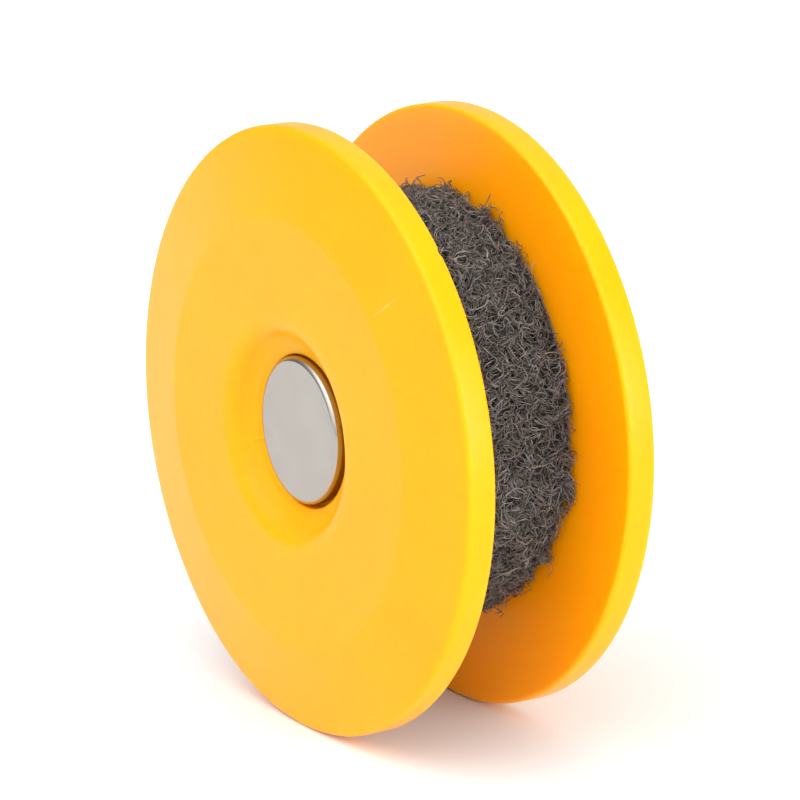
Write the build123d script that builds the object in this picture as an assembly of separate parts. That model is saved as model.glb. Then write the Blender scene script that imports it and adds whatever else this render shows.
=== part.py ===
from build123d import *
import os

# Magnetic glass cleaner: two round halves that grip a glass pane between their pads.
#
# Each half is a soft moulded disc with a nickel-plated magnet glued into a pocket in its outer
# face. The rear half works inside the tank and carries a thick non-woven scouring pad. The front
# half is moved by hand outside, and carries a thin felt pad that doesn't scratch. The magnets
# pull the halves together, so the front half drags the rear one along the glass.
#
# Frame: millimetres, +Z up. The origin is on the magnet axis, midway between the two discs, and
# the axis is Y: the front half is at -Y and the rear half at +Y. The outlines of the round
# pieces are (radius, height) points, where height is the distance from the mid-plane along the
# axis. They are drawn for the rear half, and a front piece is the mirror image of a rear one.

# --- driving dimensions -----------------------------------------------------------------------

# Discs
DISC_DIAMETER = 60.0
RIM_THICKNESS = 3.0
RIM_INNER_ROUND = 0.5  # edge between the flat inner face and the rim
RIM_OUTER_ROUND = 0.6  # edge between the rim and the sloping outer face
PLATEAU_DIAMETER = 42.2  # the flat middle of the outer face, inside the crease
PLATEAU_RISE = 1.7  # how far the plateau stands out beyond the rim
CREASE_ROUND = 3.0  # the soft fold between the slope and the plateau
DIMPLE_DIAMETER = 21.2  # the hollow around the magnet, at the plateau
DIMPLE_LIP_ROUND = 2.5
DIMPLE_BOW = 0.3  # how far the hollow's side bows into the disc from a straight cone

# Magnets, each in a blind pocket that opens outwards
MAGNET_DIAMETER = 14.6
MAGNET_THICKNESS = 2.0
MAGNET_EDGE_ROUND = 0.45
MAGNET_PROUD = 0.6  # how far the magnet stands out of the bottom of the dimple
POCKET_FLOOR = 0.9  # moulded skin between the pocket and the inner face
POCKET_CLEARANCE = 0.3  # on the radius, around the magnet
GLUE_DIAMETER = 13.0
GLUE_THICKNESS = 0.1
TURNING_GAP = 0.02  # on the front half only, where the disc turns against its magnet

# Pads
SCOURING_PAD_DIAMETER = 42.2
SCOURING_PAD_THICKNESS = 13.0
SCOURING_PAD_ROUND = 0.8
SCOURING_PAD_LIFT = 1.0  # the pad is stuck on by hand, a little above the middle
FELT_PAD_DIAMETER = 42.0
FELT_PAD_THICKNESS = 1.5
PAD_GAP = 0.2  # between the two pads, where the glass goes
FILM_THICKNESS = 0.15  # adhesive film between each pad and its disc
FILM_SETBACK = 1.0  # the film stops this far inside the pad's edge

# --- what follows from them -------------------------------------------------------------------

disc_radius = DISC_DIAMETER / 2
plateau_radius = PLATEAU_DIAMETER / 2
dimple_radius = DIMPLE_DIAMETER / 2
magnet_radius = MAGNET_DIAMETER / 2
pocket_radius = magnet_radius + POCKET_CLEARANCE

# Both inner faces are this far from the mid-plane, with the pads between them.
disc_gap = SCOURING_PAD_THICKNESS + PAD_GAP + FELT_PAD_THICKNESS + 2 * FILM_THICKNESS
inner_height = disc_gap / 2
rim_height = inner_height + RIM_THICKNESS
plateau_height = rim_height + PLATEAU_RISE

pocket_height = inner_height + POCKET_FLOOR
magnet_height = pocket_height + GLUE_THICKNESS
magnet_face_height = magnet_height + MAGNET_THICKNESS
dimple_height = magnet_face_height - MAGNET_PROUD
pad_height = inner_height - FILM_THICKNESS


def round_of(radius, low, high, edge_round=0.0):
    """A flat round between two heights, with its sharp edges rounded if a radius is given."""
    outline = make_face(Polyline((0, low), (radius, low), (radius, high), (0, high), close=True))
    if edge_round:
        outline = fillet(outline.vertices().group_by(Axis.X)[-1], edge_round)
    return revolve(outline, Axis.Y, 360)


def disc():
    """Soft moulded disc: flat inside; outside a rim, a slope, a plateau and a dimpled pocket."""
    axis_inner = (0, inner_height)
    rim_inner = (disc_radius, inner_height)
    rim_outer = (disc_radius, rim_height)
    crease = (plateau_radius, plateau_height)
    lip = (dimple_radius, plateau_height)
    pocket_mouth = (pocket_radius, dimple_height)
    pocket_corner = (pocket_radius, pocket_height)
    axis_outer = (0, pocket_height)

    # The hollow's side is an arc that bows into the disc from the line between its ends.
    run = Vector(*pocket_mouth) - Vector(*lip)
    into_disc = Vector(-run.Y, run.X).normalized()
    middle = Vector(*lip) + run / 2 + into_disc * DIMPLE_BOW
    hollow = ThreePointArc(lip, (middle.X, middle.Y), pocket_mouth)

    outline = make_face(
        [
            Polyline(axis_inner, rim_inner, rim_outer, crease, lip),
            hollow,
            Polyline(pocket_mouth, pocket_corner, axis_outer, axis_inner),
        ]
    )
    rounds = {
        rim_inner: RIM_INNER_ROUND,
        rim_outer: RIM_OUTER_ROUND,
        crease: CREASE_ROUND,
        lip: DIMPLE_LIP_ROUND,
    }
    for corner, radius in rounds.items():
        outline = fillet(outline.vertices().sort_by_distance(corner)[0], radius)
    return revolve(outline, Axis.Y, 360)


def magnet():
    """Round magnet, plated all over, with softened edges."""
    return round_of(magnet_radius, magnet_height, magnet_face_height, MAGNET_EDGE_ROUND)


def magnet_glue(thickness):
    """Set glue on the pocket's floor."""
    return round_of(GLUE_DIAMETER / 2, pocket_height, pocket_height + thickness)


def pad(diameter, thickness, edge_round=0.0):
    """The plain outer shape of a pad, standing on its adhesive film."""
    return round_of(diameter / 2, pad_height - thickness, pad_height, edge_round)


def pad_adhesive(diameter):
    """Adhesive film between a pad and the disc's flat inner face."""
    return round_of(diameter / 2 - FILM_SETBACK, pad_height, inner_height)


def on_front(rear_piece):
    """The mirror image of a rear piece, on the front half."""
    return mirror(rear_piece, about=Plane.XZ)


lifted = Pos(0, 0, SCOURING_PAD_LIFT)

pieces = {
    "rear_disc": disc(),
    "rear_magnet": magnet(),
    "rear_magnet_glue": magnet_glue(GLUE_THICKNESS),
    "rear_pad_adhesive": lifted * pad_adhesive(SCOURING_PAD_DIAMETER),
    "scouring_pad": lifted * pad(SCOURING_PAD_DIAMETER, SCOURING_PAD_THICKNESS, SCOURING_PAD_ROUND),
    "front_disc": on_front(disc()),
    "front_magnet": on_front(magnet()),
    "front_magnet_glue": on_front(magnet_glue(GLUE_THICKNESS - TURNING_GAP)),
    "front_pad_adhesive": on_front(pad_adhesive(FELT_PAD_DIAMETER)),
    "felt_pad": on_front(pad(FELT_PAD_DIAMETER, FELT_PAD_THICKNESS)),
}

os.makedirs("parts", exist_ok=True)
for name, piece in pieces.items():
    export_step(piece, f"parts/{name}.step")
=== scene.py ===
"""Magnetic glass cleaner: two soft moulded discs with magnets, a scouring pad and a felt pad."""

import math

import bpy
import numpy as np
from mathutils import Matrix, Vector


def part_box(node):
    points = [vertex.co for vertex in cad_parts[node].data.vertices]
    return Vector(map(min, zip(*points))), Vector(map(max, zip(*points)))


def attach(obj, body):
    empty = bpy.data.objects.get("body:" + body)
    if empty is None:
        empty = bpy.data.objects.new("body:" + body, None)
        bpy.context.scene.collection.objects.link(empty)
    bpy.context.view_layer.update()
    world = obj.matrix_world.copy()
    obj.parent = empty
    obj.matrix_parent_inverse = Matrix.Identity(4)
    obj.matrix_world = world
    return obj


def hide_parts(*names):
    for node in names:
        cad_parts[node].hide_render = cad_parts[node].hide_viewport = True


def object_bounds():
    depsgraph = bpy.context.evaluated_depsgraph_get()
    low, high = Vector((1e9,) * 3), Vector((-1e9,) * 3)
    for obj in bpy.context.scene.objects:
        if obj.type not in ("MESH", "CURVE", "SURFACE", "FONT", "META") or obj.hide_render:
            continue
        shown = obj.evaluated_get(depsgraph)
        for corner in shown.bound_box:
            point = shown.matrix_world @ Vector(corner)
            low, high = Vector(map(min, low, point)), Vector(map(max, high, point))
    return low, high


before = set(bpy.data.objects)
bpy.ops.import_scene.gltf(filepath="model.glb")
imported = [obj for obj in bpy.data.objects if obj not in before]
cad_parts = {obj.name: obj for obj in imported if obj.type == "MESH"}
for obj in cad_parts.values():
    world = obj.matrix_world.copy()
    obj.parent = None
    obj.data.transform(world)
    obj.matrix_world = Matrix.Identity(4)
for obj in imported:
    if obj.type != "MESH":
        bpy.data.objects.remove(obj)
cad_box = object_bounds()

MM = 0.001

# ---------------------------------------------------------------------------------------------
# The two discs. Each is one piece of soft yellow silicone, pressed in a two-part mould: flat
# inside, and outside a rim, a slope, a plateau, and a dimple round the magnet's blind pocket.
# Both halves use the same mould, so one surface is made and the front disc is its mirror image.
# ---------------------------------------------------------------------------------------------

disc_low, disc_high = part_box("rear_disc")
disc_radius = disc_high.x
inner_height = disc_low.y
plateau_height = disc_high.y
magnet_low, magnet_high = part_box("rear_magnet")
magnet_radius = magnet_high.x

rim_thickness = 3.0 * MM
rim_inner_round = 0.5 * MM
rim_outer_round = 0.6 * MM
rim_height = inner_height + rim_thickness
plateau_radius = 21.1 * MM
crease_round = 3.0 * MM
dimple_radius = 10.6 * MM
dimple_bow = 0.3 * MM
dimple_side_round = 1.5 * MM
lip_round = 2.5 * MM
magnet_clearance = 0.3 * MM
magnet_proud = 0.6 * MM
pocket_floor = 0.9 * MM
pocket_radius = magnet_radius + magnet_clearance
pocket_height = inner_height + pocket_floor
dimple_height = magnet_high.y - magnet_proud
steps_around = 480

# Places round the disc, in degrees from +X towards +Z, and sizes of a soft pressing's small faults
ridge_places = (17.5, 197.5)
ridge_radius = 8.2 * MM
ridge_rise = 0.3 * MM
front_nick = 47.0
nick_width = 0.6
rear_flash = -21.5
flash_width = 4.5


def rounded_path(corners, arc_steps=7, longest=1.2 * MM):
    """Points along an outline in (radius, height).

    Each corner is (radius, height, rounding). The rounding is an arc that touches both runs, at
    the distance r * tan(turn / 2) from the corner. Straight runs are cut into equal steps.
    """
    corners = np.array(corners, float)
    at, rounding = corners[:, :2], corners[:, 2]
    stretches = [at[:1]]
    for before, here, after, r in zip(at[:-2], at[1:-1], at[2:], rounding[1:-1]):
        run_in = (here - before) / np.linalg.norm(here - before)
        run_out = (after - here) / np.linalg.norm(after - here)
        turn = math.acos(np.clip(run_in @ run_out, -1, 1))
        reach = r * math.tan(turn / 2)
        side = math.copysign(1, run_in[0] * run_out[1] - run_in[1] * run_out[0])
        normal = side * np.array([-run_in[1], run_in[0]])
        centre = here - run_in * reach + normal * r
        sweep = np.linspace(0, turn, arc_steps)[:, None]
        stretches.append(centre - normal * r * np.cos(sweep) + run_in * r * np.sin(sweep))
    stretches.append(at[-1:])
    points = [stretches[0]]
    for stretch in stretches[1:]:
        gap = stretch[0] - points[-1][-1]
        cuts = max(1, math.ceil(np.linalg.norm(gap) / longest))
        run = points[-1][-1] + gap * np.linspace(0, 1, cuts + 1)[1:-1, None]
        points += [run, stretch]
    return np.concatenate(points)


def turned_grid(radius, height, around):
    """A surface of revolution about the Y axis: (radius * cos a, height, radius * sin a).

    radius and height have one row for each outline point and one column for each angle.
    """
    return np.stack([radius * np.cos(around), height, radius * np.sin(around)], -1)


def rings(outline, steps):
    """The outline at equal angles: radius, height and angle, with a column for each angle."""
    around = np.linspace(0, 2 * np.pi, steps, endpoint=False)[None, :]
    radius, height = (outline[:, i][:, None] + np.zeros_like(around) for i in (0, 1))
    return radius, height, around


def mesh_piece(name, points, quads, triangles, outward=True):
    """A mesh object from points and two index arrays. Faces turn over if outward is False."""
    if not outward:
        quads, triangles = quads[:, ::-1], triangles[:, ::-1]
    mesh = bpy.data.meshes.new(name)
    mesh.from_pydata(points.reshape(-1, 3).tolist(), [], quads.tolist() + triangles.tolist())
    mesh.shade_smooth()
    mesh.validate()
    piece = bpy.data.objects.new(name, mesh)
    bpy.context.scene.collection.objects.link(piece)
    return piece


def closed_round(name, grid, outward=True):
    """A closed surface from a grid whose rows are rings, each end drawn to a single pole."""
    rows, around = grid.shape[:2]
    poles = np.array([grid[0].mean(0), grid[-1].mean(0)])
    ring, turn = np.meshgrid(np.arange(rows - 1), np.arange(around), indexing="ij")
    here, beside = ring * around + turn, ring * around + (turn + 1) % around
    quads = np.stack([here, beside, beside + around, here + around], -1).reshape(-1, 4)
    first, last = rows * around, rows * around + 1
    turn = np.arange(around)
    after = (turn + 1) % around
    top = (rows - 1) * around
    start_fan = np.stack([np.full(around, first), after, turn], -1)
    end_fan = np.stack([np.full(around, last), top + turn, top + after], -1)
    points = np.concatenate([grid.reshape(-1, 3), poles])
    return mesh_piece(name, points, quads, np.concatenate([start_fan, end_fan]), outward)


def smooth_noise(a, b, seed, octaves=4, base=3.0):
    """Soft bumps in about -1 to 1: a sum of plane waves in two coordinates, at rising pitch."""
    rng = np.random.default_rng(seed)
    total = np.zeros(np.broadcast(a, b).shape)
    for octave in range(octaves):
        for _ in range(4):
            pitch = base * 2**octave
            heading, phase = rng.uniform(0, 2 * np.pi, 2)
            wave = np.sin(pitch * (a * math.cos(heading) + b * math.sin(heading)) + phase)
            total += wave * 0.5**octave / 3
    return total


def disc_outline():
    """The disc's outline in (radius, height), from the inner face's middle to the pocket's."""
    lip = np.array([dimple_radius, plateau_height])
    mouth = np.array([pocket_radius, dimple_height])
    run = mouth - lip
    into_disc = np.array([-run[1], run[0]]) / np.linalg.norm(run)
    share = np.array([0.4, 0.6, 0.8])[:, None]
    bowl = lip + run * share + into_disc * dimple_bow * 4 * share * (1 - share)
    return rounded_path(
        [
            (0.2 * MM, inner_height, 0),
            (disc_radius, inner_height, rim_inner_round),
            (disc_radius, rim_height, rim_outer_round),
            (plateau_radius, plateau_height, crease_round),
            (*lip, lip_round),
            *[(*point, dimple_side_round) for point in bowl],
            (*mouth, 0.15 * MM),
            (pocket_radius, pocket_height, 0.1 * MM),
            (0.2 * MM, pocket_height, 0),
        ]
    )


def apart(around, degrees):
    """How many degrees each angle is from one place round the disc, from -180 to 180."""
    return (np.degrees(around) - degrees + 180) % 360 - 180


def disc_surface(seed, nick=None, rough=None):
    """Rings of the disc, as (radius, height, angle), with the small faults of a soft pressing.

    The rim's radius waves by a few hundredths of a millimetre. Two thin ridges of flash cross the
    side of the dimple at opposite angles. A nick is a dent in the edge between rim and inner face,
    falling off as a bell curve of the angle, and a rough stretch of that edge has torn flash on it.
    """
    radius, height, around = rings(disc_outline(), steps_around)
    at_rim = np.clip((radius - plateau_radius) / (disc_radius - plateau_radius), 0, 1) ** 3
    from_rim, from_face = (radius - disc_radius) / MM, (height - inner_height) / (0.6 * MM)
    at_edge = np.exp(-(from_rim**2) - from_face**2)
    wave = smooth_noise(np.cos(around), np.sin(around), seed, octaves=3, base=4.0)
    radius = radius - at_rim * (0.04 + 0.04 * wave) * MM
    outside = height > pocket_height + 0.3 * MM
    for place in ridge_places:
        across = np.exp(-((apart(around, place) / 1.2) ** 2))
        ridge = across * np.exp(-(((radius - ridge_radius) / (0.6 * MM)) ** 2))
        height = height + outside * ridge * ridge_rise
    if nick is not None:
        dent = at_edge * np.exp(-((apart(around, nick) / nick_width) ** 2))
        radius, height = radius - dent * 0.11 * MM, height + dent * 0.15 * MM
    if rough is not None:
        torn = np.clip(smooth_noise(around * 60, 0 * around, seed, octaves=3, base=1.5), -0.3, 1)
        torn = torn * at_edge * np.exp(-((apart(around, rough) / flash_width) ** 4))
        radius, height = radius + torn * 0.04 * MM, height - torn * 0.15 * MM
    return radius, height, around


rear_disc = closed_round(
    "rear_disc_moulding", turned_grid(*disc_surface(seed=3, rough=rear_flash)), outward=False
)
radius, height, around = disc_surface(seed=4, nick=front_nick)
front_disc = closed_round("front_disc_moulding", turned_grid(radius, -height, around))


def node_tree(name):
    """A new material's nodes, links, Principled shader and Object coordinates."""
    material = bpy.data.materials.new(name)
    material.use_nodes = True
    tree = material.node_tree
    shader = tree.nodes["Principled BSDF"]
    place = tree.nodes.new("ShaderNodeTexCoord").outputs["Object"]
    return material, tree, shader, place


def noise(tree, place, scale, detail=3.0, roughness=0.5):
    """Noise at so many cells to the metre, on the piece's own coordinates."""
    texture = tree.nodes.new("ShaderNodeTexNoise")
    texture.inputs["Scale"].default_value = scale
    texture.inputs["Detail"].default_value = detail
    texture.inputs["Roughness"].default_value = roughness
    tree.links.new(place, texture.inputs["Vector"])
    return texture.outputs["Fac"]


def ramp(tree, value, stops):
    """A colour for each value, from (place, colour) stops."""
    band = tree.nodes.new("ShaderNodeValToRGB")
    elements = band.color_ramp.elements
    while len(elements) < len(stops):
        elements.new(0.5)
    for element, (place, colour) in zip(elements, stops):
        element.position = place
        element.color = (*colour, 1.0)
    tree.links.new(value, band.inputs["Fac"])
    return band.outputs["Color"]


def grey(level):
    """A grey of that level as a colour."""
    return (level, level, level)


def bump(tree, shader, value, distance, strength=1.0):
    """Small relief on the surface, so many metres high."""
    relief = tree.nodes.new("ShaderNodeBump")
    relief.inputs["Strength"].default_value = strength
    relief.inputs["Distance"].default_value = distance
    tree.links.new(value, relief.inputs["Height"])
    tree.links.new(relief.outputs["Normal"], shader.inputs["Normal"])


def scuff_mask(tree, place, middle, slant, length, width):
    """1 along the middle of a fine scuff, fading to 0 at its edges: a long thin ball."""
    frame_of = tree.nodes.new("ShaderNodeMapping")
    frame_of.vector_type = "TEXTURE"
    frame_of.inputs["Location"].default_value = middle
    frame_of.inputs["Rotation"].default_value = (0, -slant, 0)
    frame_of.inputs["Scale"].default_value = (length / 2, length / 2, width / 2)
    tree.links.new(place, frame_of.inputs["Vector"])
    ball = tree.nodes.new("ShaderNodeTexGradient")
    ball.gradient_type = "SPHERICAL"
    tree.links.new(frame_of.outputs["Vector"], ball.inputs["Vector"])
    return ball.outputs["Fac"]


scuff_place = math.radians(43.5)
scuff_radius = 23.7 * MM
scuff_height = -11.8 * MM
scuff_slant = math.radians(38)
scuff_length = 4.6 * MM
scuff_width = 0.35 * MM


def silicone(name, scuffed):
    """Yellow silicone: a soft sheen over a colour that light soaks into, with a faint mottle."""
    material, tree, shader, place = node_tree(name)
    mottle = noise(tree, place, 90, detail=4)
    colour = ramp(tree, mottle, [(0.3, (1.0, 0.365, 0.0)), (0.7, (1.0, 0.385, 0.0))])
    if scuffed:
        x, z = scuff_radius * math.cos(scuff_place), scuff_radius * math.sin(scuff_place)
        mask = scuff_mask(tree, place, (x, scuff_height, z), scuff_slant, scuff_length, scuff_width)
        paler = tree.nodes.new("ShaderNodeMix")
        paler.data_type = "RGBA"
        tree.links.new(mask, paler.inputs["Factor"])
        tree.links.new(colour, paler.inputs["A"])
        paler.inputs["B"].default_value = (1.0, 0.47, 0.10, 1.0)
        colour = paler.outputs["Result"]
    tree.links.new(colour, shader.inputs["Base Color"])
    haze = ramp(tree, noise(tree, place, 400, detail=5), [(0.3, grey(0.29)), (0.7, grey(0.35))])
    tree.links.new(haze, shader.inputs["Roughness"])
    shader.inputs["IOR"].default_value = 1.41
    shader.inputs["Specular IOR Level"].default_value = 0.25
    shader.inputs["Subsurface Weight"].default_value = 0.7
    shader.inputs["Subsurface Radius"].default_value = (1.0, 0.4, 0.06)
    shader.inputs["Subsurface Scale"].default_value = 2.5 * MM
    bump(tree, shader, noise(tree, place, 1500, detail=4), 0.01 * MM, 0.35)
    return material


for disc, node, body, scuffed in (
    (rear_disc, "rear_disc", "rear_half", False),
    (front_disc, "front_disc", "front_half", True),
):
    disc.data.materials.append(silicone(f"{node}_silicone", scuffed))
    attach(disc, body)
    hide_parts(node)

# ---------------------------------------------------------------------------------------------
# The two magnets. Each is a sintered disc, 14.6 mm across and 2 mm thick, tumbled so that its
# edges are soft, then plated with nickel. The front one is glued in by hand, a little crooked.
# ---------------------------------------------------------------------------------------------

magnet_edge = 0.6 * MM
front_magnet_lean = math.radians(-1.8)
front_magnet_shift = (-0.1 * MM, -0.2 * MM, 0.13 * MM)


def magnet_surface(seed):
    """Rings of the magnet: a flat round with rounded edges, and dents of a few microns."""
    low, high = magnet_low.y, magnet_high.y
    outline = rounded_path(
        [
            (0.1 * MM, low, 0),
            (magnet_radius, low, magnet_edge),
            (magnet_radius, high, magnet_edge),
            (0.1 * MM, high, 0),
        ],
        arc_steps=10,
        longest=0.35 * MM,
    )
    radius, height, around = rings(outline, 256)
    x, z = radius * np.cos(around) / MM, radius * np.sin(around) / MM
    face = np.clip((height - high + 0.1 * MM) / (0.1 * MM), 0, 1)
    height = height - face * 0.002 * MM * (1 + smooth_noise(x, z, seed, octaves=4, base=0.5))
    return radius, height, around


def leaned(grid, turn, shift):
    """Points turned a little about the upright line through the front magnet, and moved by shift.

    With x and y from that line, they go to x * cos a - y * sin a and x * sin a + y * cos a.
    """
    middle = -(magnet_low.y + magnet_high.y) / 2
    x, y = grid[..., 0], grid[..., 1] - middle
    turned_x = x * math.cos(turn) - y * math.sin(turn)
    turned_y = x * math.sin(turn) + y * math.cos(turn) + middle
    return np.stack([turned_x, turned_y, grid[..., 2]], -1) + shift


radius, height, around = magnet_surface(seed=11)
rear_magnet = closed_round("rear_magnet_plated", turned_grid(radius, height, around), outward=False)
radius, height, around = magnet_surface(seed=12)
front_magnet = closed_round(
    "front_magnet_plated",
    leaned(turned_grid(radius, -height, around), front_magnet_lean, front_magnet_shift),
)


def nickel():
    """Nickel plate: warm grey metal with a fine tumbled grain and a few smudges."""
    material, tree, shader, place = node_tree("nickel_plate")
    smudge = noise(tree, place, 260, detail=6)
    colour = ramp(tree, smudge, [(0.3, (0.39, 0.366, 0.336)), (0.7, (0.42, 0.394, 0.362))])
    tree.links.new(colour, shader.inputs["Base Color"])
    haze = ramp(tree, noise(tree, place, 700, detail=6), [(0.3, grey(0.16)), (0.75, grey(0.24))])
    tree.links.new(haze, shader.inputs["Roughness"])
    shader.inputs["Metallic"].default_value = 1.0
    bump(tree, shader, noise(tree, place, 6000, detail=3), 0.004 * MM, 0.5)
    return material


nickel_finish = nickel()
for magnet, node, body in (
    (rear_magnet, "rear_magnet", "rear_half"),
    (front_magnet, "front_magnet", "front_core"),
):
    magnet.data.materials.append(nickel_finish)
    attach(magnet, body)
    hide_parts(node)

# ---------------------------------------------------------------------------------------------
# The glue under each magnet. It is a drop of clear epoxy that was pressed out flat on the floor
# of the pocket, so its edge wanders, and it set there.
# ---------------------------------------------------------------------------------------------


def epoxy():
    """Set epoxy: clear amber, glossy, with a slight cloud in it."""
    material, tree, shader, place = node_tree("set_epoxy")
    cloud = ramp(
        tree, noise(tree, place, 500, detail=5), [(0.3, (0.62, 0.50, 0.28)), (0.7, (0.75, 0.66, 0.44))]
    )
    tree.links.new(cloud, shader.inputs["Base Color"])
    shader.inputs["Roughness"].default_value = 0.15
    shader.inputs["Transmission Weight"].default_value = 0.4
    return material


def pressed_drop(name, node, seed):
    """A flat drop whose radius waves with the angle, inside its node's round."""
    low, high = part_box(node)
    most, thick = high.x, (high.y - low.y) / 2
    around = np.linspace(0, 2 * np.pi, 128, endpoint=False)[None, :]
    wave = smooth_noise(np.cos(around), np.sin(around), seed, octaves=3, base=2.0)
    edge = most * (0.93 + 0.06 * np.clip(wave, -1, 1))
    bulge = np.linspace(-np.pi / 2, np.pi / 2, 9)[:, None]
    ends = np.array([0.02, 0.5])[:, None] * edge
    rounded = edge - thick + thick * np.cos(bulge)
    radius = np.concatenate([ends, rounded, ends[::-1]])
    height = np.concatenate([[-thick] * 2, thick * np.sin(bulge[:, 0]), [thick] * 2])
    height = (low.y + high.y) / 2 + height[:, None] + np.zeros_like(around)
    return closed_round(name, turned_grid(radius, height, around), outward=False)


epoxy_finish = epoxy()
for half, body, seed in (("rear", "rear_half", 21), ("front", "front_half", 22)):
    drop = pressed_drop(f"{half}_magnet_glue_drop", f"{half}_magnet_glue", seed)
    drop.data.materials.append(epoxy_finish)
    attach(drop, body)
    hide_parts(f"{half}_magnet_glue")

# ---------------------------------------------------------------------------------------------
# The adhesive films. Each is a round punched from double-sided tape, 0.15 mm thick, and holds a
# pad to the flat inner face of its disc, 1 mm inside the pad's edge.
# ---------------------------------------------------------------------------------------------


def tape():
    """Clear acrylic tape with small trapped bubbles."""
    material, tree, shader, place = node_tree("adhesive_tape")
    bubbles = tree.nodes.new("ShaderNodeTexVoronoi")
    bubbles.inputs["Scale"].default_value = 900
    tree.links.new(place, bubbles.inputs["Vector"])
    colour = ramp(
        tree, bubbles.outputs["Distance"], [(0.1, (0.90, 0.86, 0.76)), (0.35, (0.78, 0.72, 0.60))]
    )
    tree.links.new(colour, shader.inputs["Base Color"])
    shader.inputs["Roughness"].default_value = 0.3
    shader.inputs["Transmission Weight"].default_value = 0.85
    bump(tree, shader, bubbles.outputs["Distance"], 0.02 * MM, 0.4)
    return material


def punched_film(name, node):
    """A thin flat round with slightly drawn edges, where its node is."""
    low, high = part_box(node)
    size, drawn_edge = high.x, 0.03 * MM
    outline = rounded_path(
        [
            (0.1 * MM, low.y, 0),
            (size, low.y, drawn_edge),
            (size, high.y, drawn_edge),
            (0.1 * MM, high.y, 0),
        ],
        arc_steps=4,
        longest=2.5 * MM,
    )
    grid = turned_grid(*rings(outline, 240))
    grid[..., 2] += (low.z + high.z) / 2
    return closed_round(name, grid, outward=False)


tape_finish = tape()
for half, body in (("rear", "rear_half"), ("front", "front_half")):
    film = punched_film(f"{half}_pad_tape", f"{half}_pad_adhesive")
    film.data.materials.append(tape_finish)
    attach(film, body)
    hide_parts(f"{half}_pad_adhesive")

# ---------------------------------------------------------------------------------------------
# The scouring pad. It is a thick round of non-woven web, punched from a mat of curled grey nylon
# fibres that are bonded where they cross. The cut edge is ragged, with loops standing out.
# ---------------------------------------------------------------------------------------------

pad_low, pad_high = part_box("scouring_pad")
pad_radius = pad_high.x
pad_lift = (pad_low.z + pad_high.z) / 2
full_corner = -19.0
web_depth = 1.4 * MM
core_depth = 1.3 * MM
core_setback = 1.1 * MM
fibre_thickness = 0.11 * MM
wall_count, stray_count, face_count = 21500, 900, 8000
web_parts = 7
web_rng = np.random.default_rng(71)


def pad_edge(around, along):
    """How far out the ragged cut edge is, at an angle and a place between the faces (metres).

    It wanders by a few tenths of a millimetre, more so beside the disc, and has one full corner.
    """
    broad = smooth_noise(np.cos(around), np.sin(around), 31, octaves=2, base=2.5)
    fine = smooth_noise(around * 12, along / MM * 0.6, 32, octaves=3, base=1.0)
    tufts = smooth_noise(around * 18, along / MM * 0.3, 34, octaves=2, base=1.0)
    beside_disc = np.clip((along - pad_high.y) / (2.2 * MM) + 1, 0, 1)
    corner = np.exp(-(apart(around, full_corner) / 9) ** 2)
    wander = -0.3 + 0.3 * broad + 0.3 * fine + 0.7 * corner
    return pad_radius + np.maximum(wander + beside_disc * (0.6 * tufts - 0.1), -0.55) * MM


def curls(count, longest, curl, rng, steps=8):
    """Fibres as stretches of random helices, in flat coordinates with the middle at the origin.

    A fibre runs along cos(t) * axis + sin(t) * (a turning vector), summed step by step, with its
    own curl radius and its own slow drift, and is a little flatter in the third coordinate.
    """
    axis = rng.normal(size=(count, 3)) * (1, 1, 0.8)
    axis /= np.linalg.norm(axis, axis=1, keepdims=True)
    side = np.cross(axis, rng.normal(size=(count, 3)))
    side /= np.linalg.norm(side, axis=1, keepdims=True)
    other = np.cross(axis, side)
    length = longest * rng.uniform(0.45, 1.0, count)[:, None]
    tightness = rng.uniform(*curl, count)[:, None]
    lean = rng.uniform(0.75, 1.45, count)[:, None]
    along = np.linspace(0, 1, steps)[None, :] * length
    turn = along / tightness + rng.uniform(0, 2 * np.pi, (count, 1))
    turn = turn + rng.uniform(0.2, 1.2, (count, 1)) * np.sin(along / (2.2 * tightness))
    heading = (
        np.cos(lean)[..., None] * axis[:, None]
        + (np.sin(lean) * np.cos(turn))[..., None] * side[:, None]
        + (np.sin(lean) * np.sin(turn))[..., None] * other[:, None]
    )
    path = np.cumsum(heading * (length / (steps - 1))[..., None], axis=1)
    path -= path.mean(1, keepdims=True)
    return path * (1, 1, 0.85)


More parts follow.
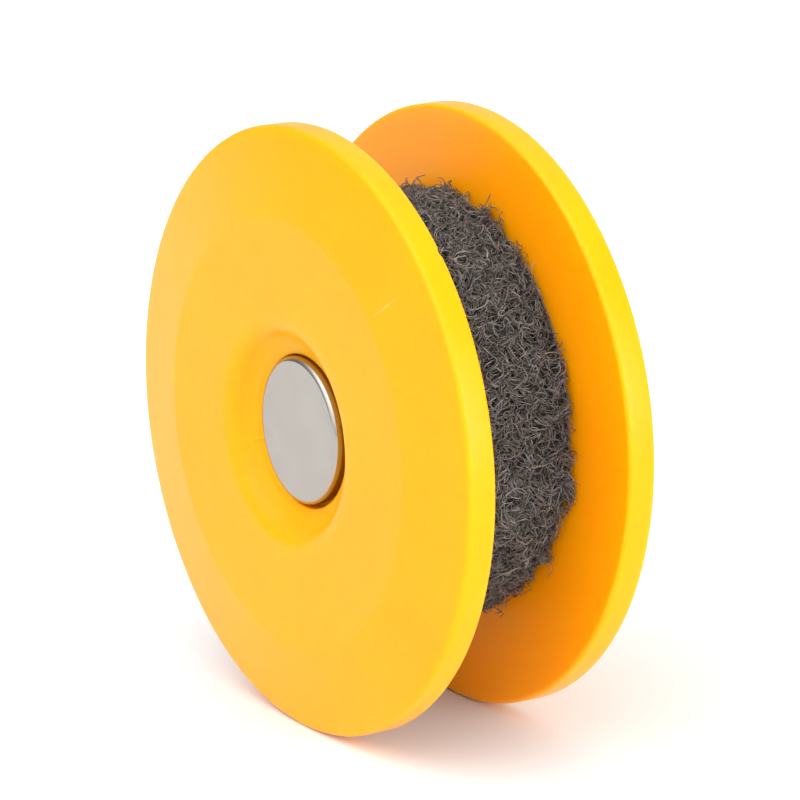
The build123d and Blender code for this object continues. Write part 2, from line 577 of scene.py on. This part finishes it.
def fibre_tubes(paths, thickness, rng):
    """Three-sided tubes along many paths at once, as points, quads and triangles.

    A side vector is carried along each path and kept square to it, so the tubes don't twist, and
    a fibre thins a little at both ends.
    """
    count, steps = paths.shape[:2]
    heading = np.gradient(paths, axis=1)
    heading /= np.linalg.norm(heading, axis=2, keepdims=True)
    side = np.empty_like(paths)
    carried = np.cross(heading[:, 0], rng.normal(size=(count, 3)))
    for step in range(steps):
        carried = carried - (carried * heading[:, step]).sum(1, keepdims=True) * heading[:, step]
        carried /= np.linalg.norm(carried, axis=1, keepdims=True)
        side[:, step] = carried
    other = np.cross(heading, side)
    thick = thickness * rng.uniform(0.75, 1.25, (count, 1)) / 2
    thick = thick * (1 - 0.45 * np.abs(np.linspace(-1, 1, steps)) ** 6)
    corner = np.arange(3) * 2 * np.pi / 3
    ring = (
        side[:, :, None] * np.cos(corner)[:, None] + other[:, :, None] * np.sin(corner)[:, None]
    ) * thick[..., None, None]
    points = (paths[:, :, None] + ring).reshape(-1, 3)
    fibre, step, spot = np.meshgrid(
        np.arange(count), np.arange(steps - 1), np.arange(3), indexing="ij"
    )
    here = fibre * steps * 3 + step * 3 + spot
    beside = fibre * steps * 3 + step * 3 + (spot + 1) % 3
    quads = np.stack([here, beside, beside + 3, here + 3], -1).reshape(-1, 4)
    first = np.arange(count) * steps * 3
    last = first + (steps - 1) * 3
    ends = np.concatenate(
        [np.stack([first, first + 2, first + 1], -1), np.stack([last, last + 1, last + 2], -1)]
    )
    return points, quads, ends


def clumped(flat, seed):
    """Fibres drawn together into clumps, with gaps between, by soft waves about 3 mm long."""
    across, along = flat[..., 0] / MM, flat[..., 1] / MM
    pull = [smooth_noise(across, along, seed + i, octaves=2, base=2.0) for i in range(3)]
    return flat + np.stack(pull, -1) * (0.35, 0.35, 0.3) * MM


def inside_pad(along):
    """Heights turned back inside the pad's two faces, as a fibre is at a cut face."""
    low, high = pad_low.y + 0.1 * MM, pad_high.y - 0.1 * MM
    along = np.where(along < low, 2 * low - along, along)
    return np.where(along > high, 2 * high - along, along)


def wall_fibres(count, depth, rng, longest=2.8 * MM, curl=(0.3 * MM, 0.9 * MM)):
    """Fibres wrapped round the cut wall: the flat coordinates become angle, height and depth."""
    flat = curls(count, longest, curl, rng)
    flat += np.stack(
        [
            rng.uniform(-np.pi, np.pi, count) * pad_radius,
            rng.uniform(pad_low.y, pad_high.y, count),
            rng.uniform(*depth, count),
        ],
        -1,
    )[:, None]
    flat = clumped(flat, 51)
    around = flat[..., 0] / pad_radius
    along = inside_pad(flat[..., 1])
    out = pad_edge(around, along) - flat[..., 2]
    return np.stack([out * np.cos(around), along, out * np.sin(around) + pad_lift], -1)


def face_fibres(count, depth, rng, longest=3.6 * MM, curl=(0.4 * MM, 1.6 * MM)):
    """Fibres laid over the free face: the flat coordinates become place on it and depth."""
    flat = curls(count, longest, curl, rng)
    spot = rng.uniform(-np.pi, np.pi, count)
    out = np.sqrt(rng.uniform(0, 1, count)) * (pad_radius - 0.4 * MM)
    flat += np.stack([out * np.cos(spot), out * np.sin(spot), rng.uniform(*depth, count)], -1)[:, None]
    flat = clumped(flat, 55)
    along = pad_low.y + np.abs(flat[..., 2]) + 0.1 * MM
    return np.stack([flat[..., 0], along, flat[..., 1] + pad_lift], -1)


def web_core():
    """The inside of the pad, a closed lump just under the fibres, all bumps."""
    outline = rounded_path(
        [
            (0.2 * MM, pad_low.y + core_depth, 0),
            (pad_radius - core_depth, pad_low.y + core_depth, 0.8 * MM),
            (pad_radius - core_setback, pad_high.y, 0.05 * MM),
            (0.2 * MM, pad_high.y, 0),
        ],
        arc_steps=5,
        longest=0.6 * MM,
    )
    radius, height, around = rings(outline, 300)
    edge = pad_edge(around, height) - pad_radius
    bumps = smooth_noise(around * 20, height / MM, 33, octaves=3, base=2.0)
    loose = np.clip((pad_high.y - height) / (2.0 * MM), 0, 1) * (radius / pad_radius) ** 4
    radius = radius + loose * (edge + 0.25 * MM * bumps)
    grid = turned_grid(radius, height, around)
    grid[..., 2] += pad_lift
    return grid


wall = wall_fibres(wall_count, (0.0, web_depth), web_rng)
strays = wall_fibres(stray_count, (-0.8 * MM, 0.1 * MM), web_rng, 3.2 * MM, (0.5 * MM, 1.3 * MM))
free_face = face_fibres(face_count, (0.0, 1.0 * MM), web_rng)
batches = np.array_split(np.concatenate([wall, strays, free_face]), web_parts)
scouring_web = []
for number, batch in enumerate(batches, start=1):
    points, quads, ends = fibre_tubes(batch, fibre_thickness, web_rng)
    web_part = mesh_piece(f"scouring_pad_web_{number}", points, quads, ends)
    shades = np.repeat(web_rng.uniform(0, 1, len(batch)), len(points) // len(batch))
    web_tone = web_part.data.attributes.new("tone", "FLOAT", "POINT")
    web_tone.data.foreach_set("value", shades.astype(np.float32))
    scouring_web.append(web_part)
scouring_core = closed_round("scouring_pad_core", web_core(), outward=False)


def nylon():
    """Grey nylon fibre: each has its own shade, with a soft gloss along it."""
    material, tree, shader, place = node_tree("grey_nylon")
    tone = tree.nodes.new("ShaderNodeAttribute")
    tone.attribute_name = "tone"
    colour = ramp(
        tree,
        tone.outputs["Fac"],
        [(0.0, (0.075, 0.067, 0.06)), (0.75, (0.148, 0.136, 0.124)), (1.0, (0.25, 0.238, 0.222))],
    )
    tree.links.new(colour, shader.inputs["Base Color"])
    shader.inputs["Roughness"].default_value = 0.42
    bump(tree, shader, noise(tree, place, 9000, detail=2), 0.01 * MM, 0.4)
    return material


def shaded_web_inside():
    """The inside of the web, seen only through gaps between fibres. Its near-black colour is painted
    shade, the shade deep in the web.
    """
    material, tree, shader, place = node_tree("nylon_painted_shade")
    web = noise(tree, place, 2600, detail=6, roughness=0.7)
    colour = ramp(tree, web, [(0.4, grey(0.004)), (0.65, grey(0.022))])
    tree.links.new(colour, shader.inputs["Base Color"])
    shader.inputs["Roughness"].default_value = 0.8
    bump(tree, shader, web, 0.2 * MM)
    return material


nylon_finish = nylon()
for web_part in scouring_web:
    web_part.data.materials.append(nylon_finish)
# The core's near-black colour is painted shade: the shade deep inside the web between the fibres.
scouring_core.data.materials.append(shaded_web_inside())
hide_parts("scouring_pad")
for piece in (*scouring_web, scouring_core):
    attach(piece, "rear_half")

# ---------------------------------------------------------------------------------------------
# The felt pad. It is a thin round punched from dense pressed wool felt, on the hand side, where
# it slides on dry glass. Short fine hairs lie over its face and stand out along the cut edge.
# ---------------------------------------------------------------------------------------------

felt_low, felt_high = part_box("felt_pad")
felt_radius = felt_high.x
felt_skin = 0.06 * MM
hair_thickness = 0.035 * MM
hair_count = 3600
felt_rng = np.random.default_rng(91)


def felt_body():
    """Rings of the felt: a thin round with soft edges, and an uneven pressed surface."""
    low, high = felt_low.y + 0.01 * MM, felt_high.y - felt_skin
    outline = rounded_path(
        [
            (0.1 * MM, low, 0),
            (felt_radius - felt_skin, low, 0.1 * MM),
            (felt_radius - felt_skin, high, 0.35 * MM),
            (0.1 * MM, high, 0),
        ],
        arc_steps=6,
        longest=0.45 * MM,
    )
    radius, height, around = rings(outline, 360)
    x, z = radius * np.cos(around) / MM, radius * np.sin(around) / MM
    uneven = smooth_noise(x, z, 41, octaves=4, base=0.8)
    face = np.clip((height - low) / (high - low), 0, 1)
    height = height + face * (uneven - 1) * 0.03 * MM
    radius = radius + (radius / felt_radius) ** 8 * (uneven - 1) * 0.05 * MM
    return radius, height, around


def felt_hairs(count, rng):
    """Fine hairs: half lie on the face, half follow the cut edge."""
    flat = curls(count, 2.6 * MM, (0.5 * MM, 1.6 * MM), rng, steps=6) * (1, 1, 0.08)
    half = count // 2
    spot = rng.uniform(-np.pi, np.pi, half)
    out = np.sqrt(rng.uniform(0, 1, half)) * (felt_radius - 0.5 * MM)
    on_face = flat[:half] + np.stack([out * np.cos(spot), out * np.sin(spot), 0 * spot], -1)[:, None]
    top = felt_high.y - 0.035 * MM
    face = np.stack([on_face[..., 0], top - np.abs(on_face[..., 2]) * 0.3, on_face[..., 1]], -1)
    edge = flat[half:] * (1, 0.5, 1)
    turn = edge[..., 0] / felt_radius + rng.uniform(-np.pi, np.pi, (count - half, 1))
    middle = (felt_low.y + felt_high.y) / 2
    up_edge = edge[..., 1] + rng.uniform(-0.5, 0.5, (count - half, 1)) * MM
    along = middle + np.clip(up_edge, -0.6 * MM, 0.6 * MM)
    out = felt_radius - 0.03 * MM + edge[..., 2] * 0.5
    return np.concatenate([face, np.stack([out * np.cos(turn), along, out * np.sin(turn)], -1)])


def wool_felt(name, low, high):
    """Pressed wool: mottled grey, dull, with a fine sheen of loose fibre."""
    material, tree, shader, place = node_tree(name)
    wool = noise(tree, place, 1800, detail=7, roughness=0.65)
    tree.links.new(ramp(tree, wool, [(0.35, low), (0.65, high)]), shader.inputs["Base Color"])
    shader.inputs["Roughness"].default_value = 0.95
    shader.inputs["Sheen Weight"].default_value = 0.35
    shader.inputs["Sheen Roughness"].default_value = 0.5
    bump(tree, shader, wool, 0.08 * MM, 0.7)
    return material


felt_pad = closed_round("felt_pad_body", turned_grid(*felt_body()), outward=False)
points, quads, ends = fibre_tubes(felt_hairs(hair_count, felt_rng), hair_thickness, felt_rng)
felt_nap = mesh_piece("felt_pad_nap", points, quads, ends)
felt_pad.data.materials.append(wool_felt("pressed_felt", (0.10, 0.105, 0.11), (0.20, 0.205, 0.21)))
felt_nap.data.materials.append(wool_felt("felt_nap", (0.17, 0.175, 0.18), (0.30, 0.305, 0.31)))
for piece in (felt_pad, felt_nap):
    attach(piece, "front_half")
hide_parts("felt_pad")

# ---------------------------------------------------------------------------------------------
# The stage: a plain pale table in a soft white room, lit through a few broad windows of light with
# the strongest on the right. The cleaner stands on its two rims.
# ---------------------------------------------------------------------------------------------

table_radius = 1.2
bpy.ops.mesh.primitive_circle_add(
    vertices=96, radius=table_radius, fill_type="NGON", location=(0, 0, cad_box[0][2])
)
table = bpy.context.object
table.name = "pale_table"


def table_top():
    """Matt white table top with a very faint mottle."""
    material, tree, shader, place = node_tree("white_table")
    tint = ramp(tree, noise(tree, place, 6), [(0.3, grey(0.85)), (0.7, grey(0.87))])
    tree.links.new(tint, shader.inputs["Base Color"])
    shader.inputs["Roughness"].default_value = 0.9
    return material


table.data.materials.append(table_top())


def soft_room(level, windows):
    """A room of one even level, plus soft windows of light.

    Each window is (heading, height, sharpness, strength), with both angles in degrees and the
    heading turning from +X towards +Y. It adds strength * (cosine of the angle to it) ** sharpness.
    """
    world = bpy.data.worlds.new("soft_room")
    bpy.context.scene.world = world
    world.use_nodes = True
    tree = world.node_tree
    look = tree.nodes.new("ShaderNodeTexCoord").outputs["Generated"]

    def math_node(operation, first, second):
        node = tree.nodes.new("ShaderNodeMath")
        node.operation = operation
        for socket, value in zip(node.inputs, (first, second)):
            if isinstance(value, bpy.types.NodeSocket):
                tree.links.new(value, socket)
            else:
                socket.default_value = value
        return node.outputs[0]

    total = level
    for heading, height, sharpness, strength in windows:
        turn, rise = math.radians(heading), math.radians(height)
        towards = tree.nodes.new("ShaderNodeVectorMath")
        towards.operation = "DOT_PRODUCT"
        towards.inputs[1].default_value = (
            math.cos(turn) * math.cos(rise),
            math.sin(turn) * math.cos(rise),
            math.sin(rise),
        )
        tree.links.new(look, towards.inputs[0])
        facing = math_node("MAXIMUM", towards.outputs["Value"], 0.0)
        glow = math_node("POWER", facing, sharpness)
        total = math_node("ADD", math_node("MULTIPLY", glow, strength), total)
    tree.links.new(total, tree.nodes["Background"].inputs["Strength"])
    tree.nodes["Background"].inputs["Color"].default_value = (1, 1, 1, 1)


soft_room(
    level=0.31,
    windows=[
        (12, 8, 12, 9.0),
        (288, 12, 6, 0.8),
        (265, 45, 8, 1.9),
        (325, 40, 8, 1.6),
        (270, 78, 5, 1.5),
        (125, 20, 3, 0.6),
    ],
)

camera_azimuth = math.radians(57.2)
camera_rise = math.radians(15.4)
camera_reach = 0.5042
aim = Vector((0.00014, 0.00101, 0.00156))
outward = Vector(
    (
        math.sin(camera_azimuth) * math.cos(camera_rise),
        -math.cos(camera_azimuth) * math.cos(camera_rise),
        math.sin(camera_rise),
    )
)
lens = bpy.data.cameras.new("camera")
lens.lens = 231.5
lens.sensor_width = 36.0
lens.clip_start = 0.01
camera = bpy.data.objects.new("camera", lens)
bpy.context.scene.collection.objects.link(camera)
camera.location = aim + outward * camera_reach
camera.rotation_euler = outward.to_track_quat("Z", "Y").to_euler()
bpy.context.scene.camera = camera
bpy.context.scene.view_settings.view_transform = "Standard"
